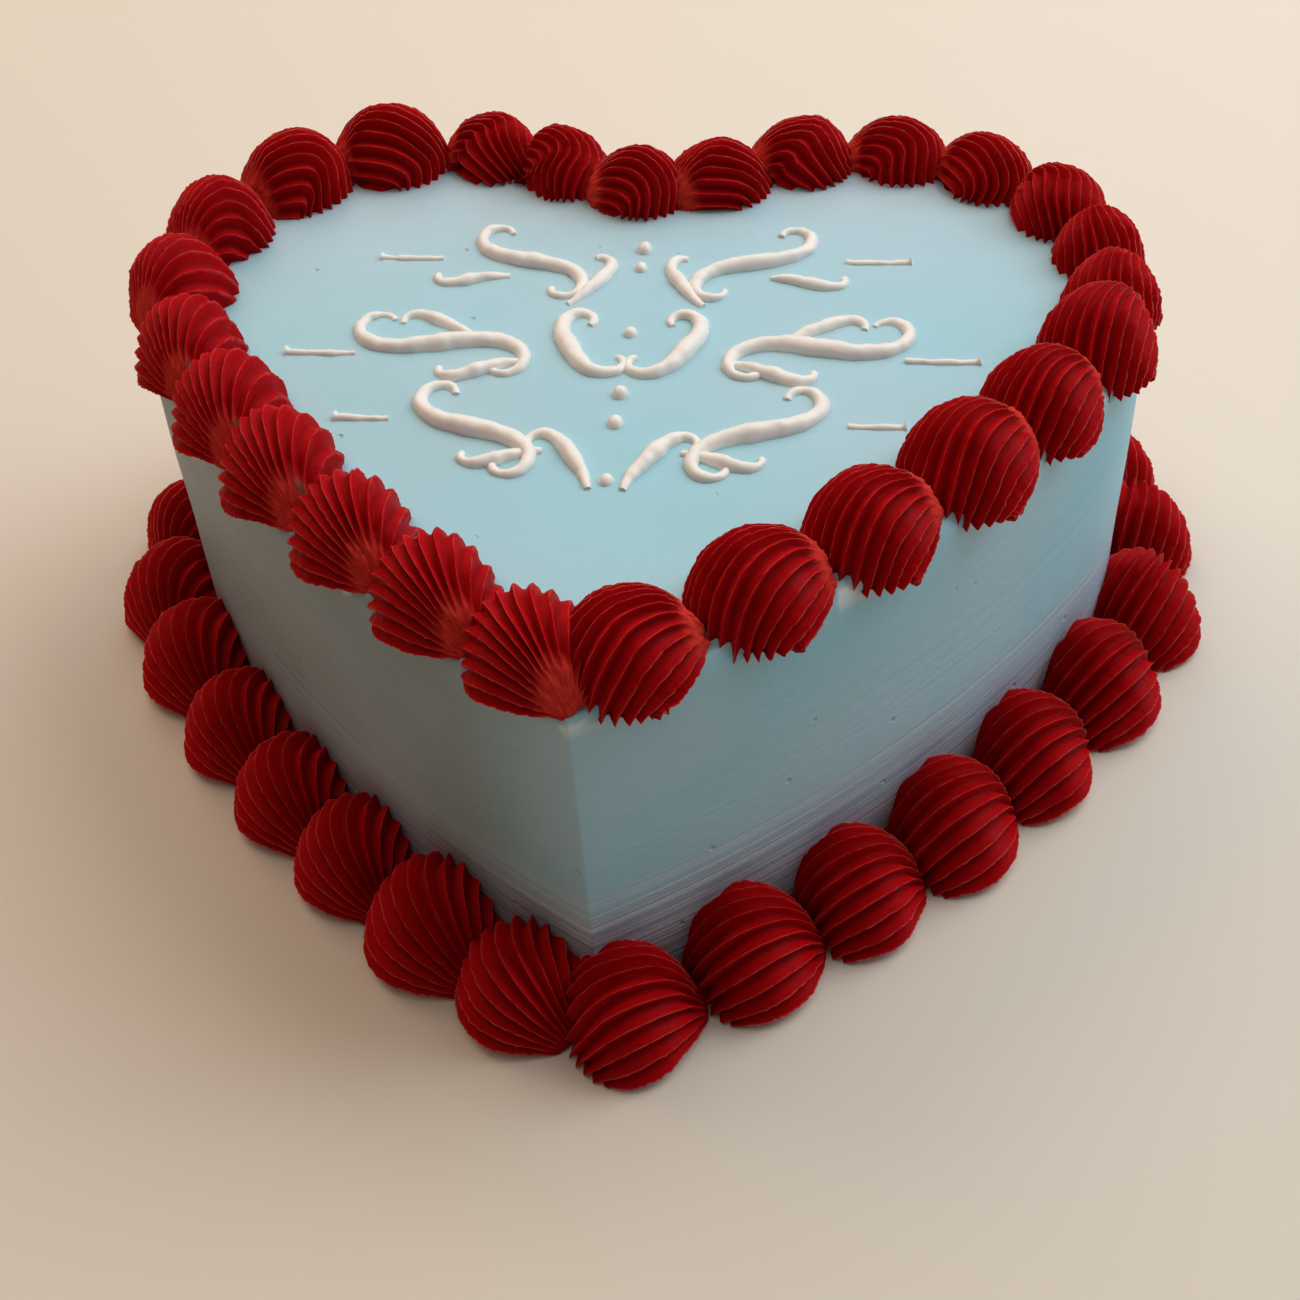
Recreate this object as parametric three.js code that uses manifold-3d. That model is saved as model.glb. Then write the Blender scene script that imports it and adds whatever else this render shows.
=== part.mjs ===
// A heart shaped cake: one tall block under smooth icing, a piped shell border round its foot and
// another round its top edge, and piped scrolls on the top. Millimetres, +Z up.
// The tip of the heart points to -Y, and both borders run anticlockwise as seen from above.
import * as THREE from "three";
import Module from "manifold-3d";

const wasm = await Module();
wasm.setup();

// The block, in the shape of a heart tin with the icing on
const cakeWidth = 230;
const cakeLength = 200;
const cakeHeight = 88;
const lobeRadius = 64;
const sideRadius = 310;
const cleftRadius = 22;
const outlineSteps = [9, 18, 6, 18, 9];
const edgeRadius = 3;
const touchGap = 0.3;

// The star nozzle gives every shell the same ribs. The crests are sharp and the grooves between them round.
const ribCount = 18;
const ribDepth = 2.4;
const ribFadeIn = 0.35;

// A border is a row of shells. Its line runs lineOut outside the wall. firstAt is where on the line the first
// head stands. Each run says how many shells follow, how far each head is from the one before, and how large
// and how tall they are beside the full size. Each shell starts with a fat head and is pulled down to a tail,
// which the next head covers. sink is how far its foot hangs below what it sits on.
const topBorder = {
  name: "top_shell",
  lineOut: -8.5,
  firstAt: 10.3,
  runs: [
    { count: 4, gap: 28.3, scale: 1, rise: 1 },
    { count: 2, gap: 25.2, scale: 0.96, rise: 1 },
    { count: 3, gap: 19, scale: 0.86, rise: 0.9 },
    { count: 4, gap: 22.8, scale: 0.9, rise: 0.84 },
    { count: 3, gap: 20.7, scale: 0.88, rise: 0.95 },
    { count: 10, gap: 25.75, scale: 1, rise: 1 },
  ],
  rest: cakeHeight,
  sink: 3.5,
  height: 16.5,
  width: 27,
  head: 14,
  tail: 19,
  tailOut: 9,
  tailDrop: 0.5,
};
const footBorder = {
  name: "foot_shell",
  lineOut: 8.5,
  firstAt: 8.7,
  runs: [
    { count: 8, gap: 28.4, scale: 1, rise: 1 },
    { count: 13, gap: 24.8, scale: 0.96, rise: 1 },
    { count: 7, gap: 26.3, scale: 1, rise: 1 },
  ],
  rest: 0,
  sink: 0,
  height: 23.5,
  width: 33,
  head: 15,
  tail: 17.5,
  tailOut: 8,
  tailDrop: 0.5,
};
// Two neighbours meet at meetingShare of the way from one head to the next. The ribs run together at poleShare
// of the way from the top of the dome down to the tail. rowShares are where the rows of points lie along a rib.
const meetingShare = 0.56;
const poleShare = 0.56;
const tailTaper = 0.25;
const plainTail = 45;
const rowShares = [0.36, 0.7, 1];
const wanderAlong = 0.7;
const wanderTurn = 4;
const wanderSize = 0.04;

// The scrolls. Each stroke starts thin, swells to its thickness and ends thin, and its two ends curl. Its
// length, its thickness and the place of its middle are in mm, its heading and curls in degrees. Each has a
// mirror twin on the left.
const scrollThin = 0.8;
const scrolls = [
  { x: 26, y: 146, length: 58, heading: 14, curls: [264, 246], thick: 2.3 },
  { x: 9, y: 139, length: 24, heading: 118, curls: [17, -149], thick: 1.9 },
  { x: 40, y: 138, length: 20, heading: -20, curls: [23, 149], thick: 1.7 },
  { x: 42, y: 113, length: 70, heading: -12, curls: [269, 258], thick: 2.5 },
  { x: 13, y: 112, length: 44, heading: 64, curls: [-223, 252], thick: 2.4 },
  { x: 33, y: 103, length: 22, heading: -28, curls: [17, 149], thick: 2 },
  { x: 44, y: 122, length: 22, heading: 30, curls: [17, -149], thick: 1.8 },
  { x: 30, y: 83, length: 60, heading: 16, curls: [264, 252], thick: 2.5 },
  { x: 9, y: 76, length: 26, heading: 60, curls: [17, -160], thick: 2.1 },
  { x: 24, y: 73, length: 20, heading: -24, curls: [17, 149], thick: 1.8 },
  { x: 55, y: 147, length: 15, heading: 0, curls: [0, 0], thick: 0.9 },
  { x: 69, y: 109, length: 16, heading: 0, curls: [0, 0], thick: 0.9 },
  { x: 55, y: 86, length: 12, heading: 0, curls: [0, 0], thick: 0.9 },
];
const scrollDots = [
  { y: 152, radius: 2.1 },
  { y: 144, radius: 1.7 },
  { y: 118, radius: 1.8 },
  { y: 96, radius: 2.1 },
  { y: 86, radius: 2.1 },
  { y: 67, radius: 1.7 },
];
const scrollStep = 5.5;
const scrollFine = 20;
const scrollSwell = 0.8;
const scrollSink = 0.05;
const curlTightness = 2.4;
const dotSides = 8;

const icing = new THREE.MeshStandardMaterial({ color: 0xa9ced6, roughness: 0.55, metalness: 0 });
const redCream = new THREE.MeshStandardMaterial({ color: 0x9a1218, roughness: 0.6, metalness: 0 });

// A steady number from -1 to 1 for one shell and one purpose, so that no two shells are alike.
function wander(index, purpose) {
  const mixed = Math.sin(index * 12.9898 + purpose * 78.233) * 43758.5453;
  return 2 * (mixed - Math.floor(mixed)) - 1;
}

// The heart's outline, moved out by grow: on each side a long flat arc from the tip, a round lobe, and between
// the lobes the arc of the cleft. It starts at the tip and goes up the right side first.
function heartPath(grow) {
  const lobeX = cakeWidth / 2 - lobeRadius;
  const lobeY = cakeLength - lobeRadius;
  const span = Math.hypot(lobeX, lobeY);
  const along = (sideRadius ** 2 - (sideRadius - lobeRadius) ** 2 + span ** 2) / (2 * span);
  const across = Math.sqrt(sideRadius ** 2 - along ** 2);
  const sideX = (lobeX * along - lobeY * across) / span;
  const sideY = (lobeY * along + lobeX * across) / span;
  const cleftY = lobeY + Math.sqrt((lobeRadius + cleftRadius) ** 2 - lobeX ** 2);
  const side = sideRadius + grow;
  const lobe = lobeRadius + grow;
  const tip = Math.acos(-sideX / side);
  const shoulder = Math.atan2(lobeY - sideY, lobeX - sideX);
  const crown = Math.atan2(cleftY - lobeY, -lobeX);
  const arc = (x, y, radius, from, to, clockwise = false) =>
    new THREE.EllipseCurve(x, y, radius, radius, from, to, clockwise);
  const path = new THREE.CurvePath();
  path.add(arc(sideX, sideY, side, -tip, shoulder));
  path.add(arc(lobeX, lobeY, lobe, shoulder, crown));
  path.add(arc(0, cleftY, cleftRadius - grow, crown - Math.PI, -crown, true));
  path.add(arc(-lobeX, lobeY, lobe, Math.PI - crown, Math.PI - shoulder));
  path.add(arc(-sideX, sideY, side, Math.PI - shoulder, Math.PI + tip));
  return path;
}

// The outline as a closed ring of points at height z, with the same number of points for any grow.
function heartRing(grow, z) {
  return heartPath(grow).curves.flatMap((curve, part) =>
    curve
      .getPoints(outlineSteps[part])
      .slice(0, -1)
      .map((p) => new THREE.Vector3(p.x, p.y, z)),
  );
}

// A solid skinned over rings of equal count, from a first point on top to a last point below. The rings turn
// anticlockwise as seen from the first point.
function skinnedSolid(first, rings, last) {
  const count = rings[0].length;
  const points = [first, ...rings.flat(), last];
  const end = points.length - 1;
  const triVerts = [];
  for (let column = 0; column < count; column++) {
    const next = (column + 1) % count;
    triVerts.push(0, 1 + column, 1 + next);
    for (let ring = 1; ring < rings.length; ring++) {
      const above = 1 + (ring - 1) * count;
      const below = above + count;
      triVerts.push(above + column, below + column, below + next);
      triVerts.push(above + column, below + next, above + next);
    }
    triVerts.push(end - count + column, end, end - count + next);
  }
  const vertProperties = new Float32Array(points.flatMap((p) => [p.x, p.y, p.z]));
  const mesh = new wasm.Mesh({ numProp: 3, vertProperties, triVerts: new Uint32Array(triVerts) });
  return new wasm.Manifold(mesh);
}

function geometryOf(solid) {
  const { vertProperties, triVerts } = solid.getMesh();
  const geometry = new THREE.BufferGeometry();
  geometry.setAttribute("position", new THREE.BufferAttribute(vertProperties, 3));
  geometry.setIndex(new THREE.BufferAttribute(triVerts, 1));
  return geometry;
}

// The block. edge is the radius of its top edge, and gap grows it all round, so that what lies against it can
// be cut to fit.
function heartBlock(edge, gap) {
  const middle = cakeLength / 2;
  const angles = edge > 0 ? [90, 45, 0] : [0];
  const rings = angles.map((degrees) => {
    const angle = THREE.MathUtils.degToRad(degrees);
    const inset = edge * (1 - Math.cos(angle));
    return heartRing(gap - inset, cakeHeight + gap - edge * (1 - Math.sin(angle)));
  });
  rings.push(heartRing(gap, -gap));
  const top = new THREE.Vector3(0, middle, cakeHeight + gap);
  return skinnedSolid(top, rings, new THREE.Vector3(0, middle, -gap));
}

// One scroll stroke, a ridge half sunk in the icing. Its heading turns fastest towards the two ends.
function scrollSolid({ x, y, length, heading, curls, thick }, mirror) {
  const steps = 2 * Math.ceil(length / scrollStep / 2);
  const turnAt = (share) => {
    const curl = share < 0 ? curls[0] : curls[1];
    return THREE.MathUtils.degToRad(heading + curl * Math.abs(share) ** curlTightness);
  };
  const line = [new THREE.Vector3(0, 0, 0)];
  for (let i = 0; i < steps * scrollFine; i++) {
    const turn = turnAt((2 * (i + 0.5)) / (steps * scrollFine) - 1);
    const run = new THREE.Vector3(Math.cos(turn), Math.sin(turn), 0);
    line.push(line.at(-1).clone().addScaledVector(run, length / (steps * scrollFine)));
  }
  const shift = new THREE.Vector3(x, y, cakeHeight - scrollSink).sub(line[(steps * scrollFine) / 2]);
  const at = (i) => {
    const point = line[i * scrollFine].clone().add(shift);
    return point.setX(mirror * point.x);
  };
  const rings = [];
  for (let i = 1; i < steps; i++) {
    const share = (2 * i) / steps - 1;
    const radius = scrollThin + (thick - scrollThin) * (1 - Math.abs(share)) ** scrollSwell;
    const right = new THREE.Vector3(mirror * Math.sin(turnAt(share)), -Math.cos(turnAt(share)), 0);
    const up = new THREE.Vector3(0, 0, mirror);
    const sides = [right, up, right.clone().negate(), up.clone().negate()];
    rings.push(sides.map((side) => at(i).addScaledVector(side, radius)));
  }
  return skinnedSolid(at(0), rings, at(steps));
}

// A piped dot: a low dome that reaches a little way into the icing.
function dotSolid({ y, radius }) {
  const ring = Array.from({ length: dotSides }, (_, i) => {
    const angle = (i * 2 * Math.PI) / dotSides;
    return new THREE.Vector3(radius * Math.cos(angle), y + radius * Math.sin(angle), cakeHeight);
  });
  const top = new THREE.Vector3(0, y, cakeHeight + radius);
  return skinnedSolid(top, [ring], new THREE.Vector3(0, y, cakeHeight - radius));
}

function cakeBody() {
  let solid = heartBlock(edgeRadius, 0);
  for (const scroll of scrolls) {
    for (const mirror of [1, -1]) solid = solid.add(scrollSolid(scroll, mirror));
  }
  for (const dot of scrollDots) solid = solid.add(dotSolid(dot));
  const mesh = new THREE.Mesh(geometryOf(solid), icing);
  mesh.name = "cake_body";
  return mesh;
}

// The turns at which lines run down a shell: a crest and a groove for each rib round the head and the sides,
// and a plain back under the tail.
function shellTurns() {
  const step = Math.PI / ribCount;
  const plain = THREE.MathUtils.degToRad(plainTail);
  const turns = [{ turn: 0, groove: 0 }];
  for (let i = 1; i < 2 * ribCount; i++) {
    const turn = i * step;
    if (turn > plain && turn < 2 * Math.PI - plain) turns.push({ turn, groove: i % 2 === 0 ? ribDepth : 0 });
  }
  return turns;
}

// A point on the plain dome of a shell in its own frame: the head over the origin, the tail towards +X. share
// runs along a rib, from 0 where the ribs run together at the tail to 1 at the foot, which it meets square on.
function domePoint({ height, sink, width, head, tail, tailDrop }, turn, share) {
  const flatX = poleShare * (1 - share) ** 2 + share * Math.cos(turn);
  const flatY = share * Math.sin(turn);
  const reach = Math.min(1, Math.hypot(flatX, flatY)) * (Math.PI / 2);
  const bearing = Math.atan2(flatY, flatX);
  const out = Math.sin(reach);
  const back = Math.max(0, Math.cos(bearing) * out);
  const x = (Math.cos(bearing) > 0 ? tail : head) * Math.cos(bearing) * out;
  const y = (width / 2) * Math.sin(bearing) * out * (1 - tailTaper * back ** 2);
  const z = (height + sink) * Math.cos(reach) ** (1 + tailDrop * back ** 2);
  return new THREE.Vector3(x, y, Math.max(0, z));
}

// One shell. What would reach past a neighbour's face is pulled straight in to that face.
function shellSolid(shape, size, faces) {
  const fit = (point) => {
    for (const { out, at } of faces) {
      const over = point.x * out.x + point.y * out.y;
      if (over > at) point.set((point.x * at) / over, (point.y * at) / over, point.z);
    }
    return point;
  };
  const rings = rowShares.map((share) =>
    shellTurns().map(({ turn, groove }) => {
      const point = domePoint(shape, turn, share).multiplyScalar(size);
      const depth = groove * Math.min(1, share / ribFadeIn);
      return fit(point.multiplyScalar(1 - depth / point.length()));
    }),
  );
  return skinnedSolid(fit(domePoint(shape, 0, 0).multiplyScalar(size)), rings, new THREE.Vector3());
}

// The shells of one border, each flat where it meets its two neighbours, and cut to lie on the block with a
// hair of clearance all round.
function shellBorder(border, block) {
  const path = heartPath(border.lineOut);
  const total = path.getLength();
  const places = [];
  for (const { count, gap, scale, rise } of border.runs) {
    for (let i = 0; i < count; i++) {
      const place = places.length > 0 ? places.at(-1).place + gap : border.firstAt;
      places.push({ place, scale, rise });
    }
  }
  const heads = places.map(({ place, scale, rise }, i) => {
    const share = (place + wanderAlong * wander(i, 1)) / total;
    const run = path.getTangent(share);
    const outward = THREE.MathUtils.degToRad(border.tailOut + wanderTurn * wander(i, 2));
    return {
      point: path.getPoint(share),
      turn: Math.atan2(run.y, run.x) - outward,
      size: scale * (1 + wanderSize * wander(i, 3)),
      shape: { ...border, height: border.height * rise },
    };
  });
  const group = new THREE.Group();
  heads.forEach(({ point, turn, size, shape }, i) => {
    const before = heads.at(i - 1).point;
    const after = heads[(i + 1) % heads.length].point;
    const faces = [
      { other: after, share: meetingShare },
      { other: before, share: 1 - meetingShare },
    ].map(({ other, share }) => {
      const way = other.clone().sub(point);
      const at = way.length() * share - touchGap / 2;
      return { out: way.normalize().rotateAround(new THREE.Vector2(), -turn), at };
    });
    const lift = border.rest - border.sink * size;
    const degrees = THREE.MathUtils.radToDeg(turn);
    const placed = shellSolid(shape, size, faces).rotate([0, 0, degrees]).translate([point.x, point.y, lift]);
    const cut = placed.subtract(block).decompose();
    const largest = cut.reduce((a, b) => (a.volume() > b.volume() ? a : b));
    const local = largest.translate([-point.x, -point.y, -lift]).rotate([0, 0, -degrees]);
    const mesh = new THREE.Mesh(geometryOf(local), redCream);
    mesh.name = `${border.name}_${String(i + 1).padStart(2, "0")}`;
    mesh.position.set(point.x, point.y, lift);
    mesh.rotation.z = turn;
    group.add(mesh);
  });
  return group;
}

const block = heartBlock(0, touchGap);
const cake = new THREE.Group();
cake.add(cakeBody(), shellBorder(topBorder, block), shellBorder(footBorder, block));

// The origin is under the middle of the whole cake, at the level that it stands on.
const extent = new THREE.Box3().setFromObject(cake, true);
cake.position.set(-(extent.min.x + extent.max.x) / 2, -(extent.min.y + extent.max.y) / 2, 0);

export default cake;
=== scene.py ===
import math

import bmesh
import bpy
from mathutils import Matrix, Vector, noise


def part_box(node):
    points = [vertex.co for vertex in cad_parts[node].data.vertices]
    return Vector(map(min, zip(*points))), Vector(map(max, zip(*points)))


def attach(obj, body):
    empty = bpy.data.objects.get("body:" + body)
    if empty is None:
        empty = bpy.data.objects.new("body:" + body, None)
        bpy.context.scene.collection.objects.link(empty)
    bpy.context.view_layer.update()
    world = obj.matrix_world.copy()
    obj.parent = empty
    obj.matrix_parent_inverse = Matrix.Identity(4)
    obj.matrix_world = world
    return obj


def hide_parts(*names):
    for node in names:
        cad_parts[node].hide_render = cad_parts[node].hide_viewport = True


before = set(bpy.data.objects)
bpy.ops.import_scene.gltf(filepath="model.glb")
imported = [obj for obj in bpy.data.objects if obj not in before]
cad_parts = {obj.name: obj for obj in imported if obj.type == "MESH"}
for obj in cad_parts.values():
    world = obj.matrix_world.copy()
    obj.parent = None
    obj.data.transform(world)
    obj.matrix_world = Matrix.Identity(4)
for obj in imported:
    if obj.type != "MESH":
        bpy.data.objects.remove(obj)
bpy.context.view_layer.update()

# The camera. It stands in front of the tip of the heart, a little to the right, and looks down on the cake at
# about 45 degrees. Its place was worked out from the foot of the cake, the wall corners and the top edge.
mm = 0.001
body_low, body_high = (Vector(corner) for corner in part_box("cake_body"))
tip = Vector(((body_low.x + body_high.x) / 2, body_low.y, 0))
camera_from_tip = Vector((47.7, -227.1, 334.6)) * mm
camera_azimuth = math.radians(7.94)
camera_tilt = math.radians(44.84)
camera_roll = math.radians(-3.88)
camera_lens = 52.17

level_right = Vector((math.cos(camera_azimuth), math.sin(camera_azimuth), 0))
ahead = Vector((
    -math.sin(camera_azimuth) * math.cos(camera_tilt),
    math.cos(camera_azimuth) * math.cos(camera_tilt),
    -math.sin(camera_tilt),
))
level_up = level_right.cross(ahead)
right = level_right * math.cos(camera_roll) + level_up * math.sin(camera_roll)
up = level_up * math.cos(camera_roll) - level_right * math.sin(camera_roll)
camera_data = bpy.data.cameras.new("camera")
camera_data.lens = camera_lens
camera_data.sensor_width = 36
camera_data.clip_start = 10 * mm
camera = bpy.data.objects.new("camera", camera_data)
camera_turn = Matrix((right, up, -ahead)).transposed().to_4x4()
camera.matrix_world = Matrix.Translation(tip + camera_from_tip) @ camera_turn
bpy.context.scene.collection.objects.link(camera)
bpy.context.scene.camera = camera
bpy.context.scene.view_settings.view_transform = "Standard"


# The iced block. A tall heart shaped cake under smooth pale blue buttercream, spread with a straight scraper
# that was drawn round the wall, so its marks run level. The top edge is softly rounded and the tip is crisp.
cake_width = 230 * mm
cake_length = 200 * mm
cake_height = 88 * mm
lobe_radius = 64 * mm
side_radius = 310 * mm
cleft_radius = 22 * mm
edge_radius = 3 * mm
wall_waviness = 0.35 * mm
wave_length = 71.43 * mm
wave_height = 25 * mm
top_waviness = 0.25 * mm
top_wave_length = 40 * mm
top_dip = 0.4
# Each ring has extra points close to the tip, which keep it crisp.
near_tip = [travel * mm for travel in (0.2, 0.5, 1.1, 2)]
past_tip = 3 * mm
ring_count = 420
wall_rings = 56
wall_ring_gap = 1.5 * mm
top_rings = 15


def heart_arcs(grow):
    """The heart's outline moved out by grow, as arcs of centre, radius, first angle and sweep."""
    lobe_x = cake_width / 2 - lobe_radius
    lobe_y = cake_length - lobe_radius
    span = math.hypot(lobe_x, lobe_y)
    along = (side_radius**2 - (side_radius - lobe_radius) ** 2 + span**2) / (2 * span)
    across = math.sqrt(side_radius**2 - along**2)
    side_x = (lobe_x * along - lobe_y * across) / span
    side_y = (lobe_y * along + lobe_x * across) / span
    cleft_y = lobe_y + math.sqrt((lobe_radius + cleft_radius) ** 2 - lobe_x**2)
    start = math.acos(-side_x / (side_radius + grow))
    shoulder = math.atan2(lobe_y - side_y, lobe_x - side_x)
    crown = math.atan2(cleft_y - lobe_y, -lobe_x)
    return [
        (Vector((side_x, side_y, 0)), side_radius + grow, -start, shoulder + start),
        (Vector((lobe_x, lobe_y, 0)), lobe_radius + grow, shoulder, crown - shoulder),
        (Vector((0, cleft_y, 0)), cleft_radius - grow, crown - math.pi, math.pi - 2 * crown),
        (Vector((-lobe_x, lobe_y, 0)), lobe_radius + grow, math.pi - crown, crown - shoulder),
        (Vector((-side_x, side_y, 0)), side_radius + grow, math.pi - shoulder, shoulder + start),
    ]


def heart_at(grow, travel):
    """The point of the outline at a distance travelled from the tip, with the direction of travel there."""
    for centre, radius, first, sweep in heart_arcs(grow):
        length = radius * abs(sweep)
        if travel <= length:
            break
        travel -= length
    else:
        travel += length
    angle = first + sweep * travel / length
    out = Vector((math.cos(angle), math.sin(angle), 0))
    onward = Vector((-out.y, out.x, 0)) * math.copysign(1, sweep)
    return tip + centre + out * radius, onward


def ring_points(grow, z):
    """One ring of the block's skin, a little wavy, with the same number of points at any height."""
    length = sum(radius * abs(sweep) for _, radius, _, sweep in heart_arcs(grow))
    even_count = ring_count - 2 * len(near_tip)
    step = (length - 2 * past_tip) / (even_count - 1)
    travels = near_tip + [past_tip + i * step for i in range(even_count)]
    travels += [length - travel for travel in reversed(near_tip)]
    points = []
    for travel in travels:
        point, onward = heart_at(grow, travel)
        outward = Vector((onward.y, -onward.x, 0))
        wave = noise.noise(Vector((point.x / wave_length, point.y / wave_length, z / wave_height)))
        points.append(point + outward * wave * wall_waviness + Vector((0, 0, z)))
    return points


def linear(hex_colour):
    """An sRGB hex colour as the linear colour that a shader takes."""
    parts = [int(hex_colour[i : i + 2], 16) / 255 for i in (1, 3, 5)]
    return [p / 12.92 if p <= 0.04045 else ((p + 0.055) / 1.055) ** 2.4 for p in parts] + [1]


def add(tree, kind, inputs=None, **settings):
    """Add a node with its settings, and give each input a value, or a link from a socket or a node."""
    node = tree.nodes.new(kind)
    for name, value in settings.items():
        setattr(node, name, value)
    for key, value in (inputs or {}).items():
        if isinstance(value, bpy.types.Node):
            value = value.outputs[0]
        if isinstance(value, bpy.types.NodeSocket):
            tree.links.new(value, node.inputs[key])
        else:
            node.inputs[key].default_value = value
    return node


# Buttercream icing: butter and sugar spread smooth, matt with a soft greasy sheen. The scraper leaves level
# lines, crowded near the foot where the wall is greyer, and small pits where air was caught. Painted shade
# makes the wall a little darker than the top, and the left wall and the back of the top greyer.
patch_size = 90.9 * mm
wall_end = 86.5 * mm
left_full, left_none = -25 * mm, 5 * mm
far_none, far_full = tip.y + 110 * mm, tip.y + 175 * mm
scraper_run = 250 * mm
scraper_gap = 1.92308 * mm
foot_raggedness = 16 * mm
foot_full, foot_none = 22 * mm, 46 * mm
streak_run = 416.67 * mm
streak_gap = 0.55556 * mm
# The size of the patches of painted highlight under the top edge.
edge_highlight_patch = 18.182 * mm
rim_none, rim_full = 82 * mm, 86 * mm
edge_full, edge_none = 87.2 * mm, 87.8 * mm
crowded_up_to = 40 * mm
pit_gap = 13.3333 * mm
# Icing sugar is far too fine to show, so its grain is drawn as coarse as it needs to be.
sugar_grain = 1.42857 * mm

icing = bpy.data.materials.new("duck-egg buttercream")
icing.use_nodes = True
tree = icing.node_tree
tree.nodes.clear()
place = add(tree, "ShaderNodeTexCoord").outputs["Object"]
place_parts = add(tree, "ShaderNodeSeparateXYZ", {0: place})
sideways, backwards, height = (place_parts.outputs[axis] for axis in "XYZ")

# The blue of the wall and of the top, with paler and greyer clouds at random. The wall's blue is painted
# shade, a little darker than the top's and greyer on the left, and painted shade greys the back of the top.
on_top = add(tree, "ShaderNodeMapRange", {0: height, 1: wall_end, 2: cake_height, 3: 0, 4: 1})
on_left = add(tree, "ShaderNodeMapRange", {0: sideways, 1: left_full, 2: left_none, 3: 1, 4: 0})
# Painted shade: the back of the top is greyed, mixed in with the random clouds.
at_back = add(tree, "ShaderNodeMapRange", {0: backwards, 1: far_none, 2: far_full, 3: 0, 4: 0.6})
at_back = add(tree, "ShaderNodeMath", {0: at_back, 1: on_top}, operation="MULTIPLY")
clouds_and_back_shade = add(tree, "ShaderNodeTexNoise", {"Vector": place, "Scale": 1 / patch_size, "Detail": 2})
clouds_and_back_shade = add(tree, "ShaderNodeMapRange", {0: clouds_and_back_shade, 1: 0.42, 2: 0.68, 3: 0, 4: 0.5})
clouds_and_back_shade = add(tree, "ShaderNodeMath", {0: clouds_and_back_shade, 1: at_back}, operation="MAXIMUM")
# Painted shade: the wall is darker than the top, and greyer on the left.
cream = add(tree, "ShaderNodeMix", {0: on_left, 6: linear("#8EC5D6"), 7: linear("#86999D")}, data_type="RGBA")
cream = add(tree, "ShaderNodeMix", {0: on_top, 6: cream.outputs[2], 7: linear("#9DCEDA")}, data_type="RGBA")
cream = add(tree, "ShaderNodeMix", {0: clouds_and_back_shade, 6: cream.outputs[2], 7: linear("#BECAD6")}, data_type="RGBA")

# The greyer foot with a ragged upper edge, fainter on the left, and its dark and bright streaks.
level = add(tree, "ShaderNodeMapping", {0: place, 3: (1 / scraper_run, 1 / scraper_run, 1 / scraper_gap)})
lines = add(tree, "ShaderNodeTexNoise", {"Vector": level, "Scale": 1, "Detail": 3, "Roughness": 0.6})
ragged = add(tree, "ShaderNodeMath", {0: lines, 1: foot_raggedness, 2: height}, operation="MULTIPLY_ADD")
at_foot = add(tree, "ShaderNodeMapRange", {0: ragged, 1: foot_full, 2: foot_none, 3: 0.9, 4: 0})
fainter = add(tree, "ShaderNodeMapRange", {0: on_left, 1: 0, 2: 1, 3: 1, 4: 0.4})
at_foot = add(tree, "ShaderNodeMath", {0: at_foot, 1: fainter}, operation="MULTIPLY")
cream = add(tree, "ShaderNodeMix", {0: at_foot, 6: cream.outputs[2], 7: linear("#BCC2D6")}, data_type="RGBA")
drawn = add(tree, "ShaderNodeMapping", {0: place, 3: (1 / streak_run, 1 / streak_run, 1 / streak_gap)})
drawn = add(tree, "ShaderNodeTexNoise", {"Vector": drawn, "Scale": 1, "Detail": 2, "Roughness": 0.75})
dark = add(tree, "ShaderNodeMapRange", {0: drawn, 1: 0.38, 2: 0.52, 3: 0.55, 4: 0})
dark = add(tree, "ShaderNodeMath", {0: dark, 1: at_foot}, operation="MULTIPLY")
cream = add(tree, "ShaderNodeMix", {0: dark, 6: cream.outputs[2], 7: linear("#8C98B0")}, data_type="RGBA")
bright = add(tree, "ShaderNodeMapRange", {0: drawn, 1: 0.53, 2: 0.61, 3: 0, 4: 1})
bright = add(tree, "ShaderNodeMath", {0: bright, 1: at_foot}, operation="MULTIPLY")
cream = add(tree, "ShaderNodeMix", {0: bright, 6: cream.outputs[2], 7: linear("#F6FAFC")}, data_type="RGBA")

# Just under the top edge, in patches, the blue turns whitish: a painted highlight along the rounded edge.
under_edge = add(tree, "ShaderNodeMapRange", {0: height, 1: rim_none, 2: rim_full, 3: 0, 4: 1})
off_top = add(tree, "ShaderNodeMapRange", {0: height, 1: edge_full, 2: edge_none, 3: 1, 4: 0})
painted_edge_highlight = add(tree, "ShaderNodeTexNoise", {"Vector": place, "Scale": 1 / edge_highlight_patch, "Detail": 3})
painted_edge_highlight = add(tree, "ShaderNodeMapRange", {0: painted_edge_highlight, 1: 0.56, 2: 0.6, 3: 0, 4: 0.75})
painted_edge_highlight = add(tree, "ShaderNodeMath", {0: painted_edge_highlight, 1: under_edge}, operation="MULTIPLY")
painted_edge_highlight = add(tree, "ShaderNodeMath", {0: painted_edge_highlight, 1: off_top}, operation="MULTIPLY")
cream = add(tree, "ShaderNodeMix", {0: painted_edge_highlight, 6: cream.outputs[2], 7: linear("#E4E9E8")}, data_type="RGBA")

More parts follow.
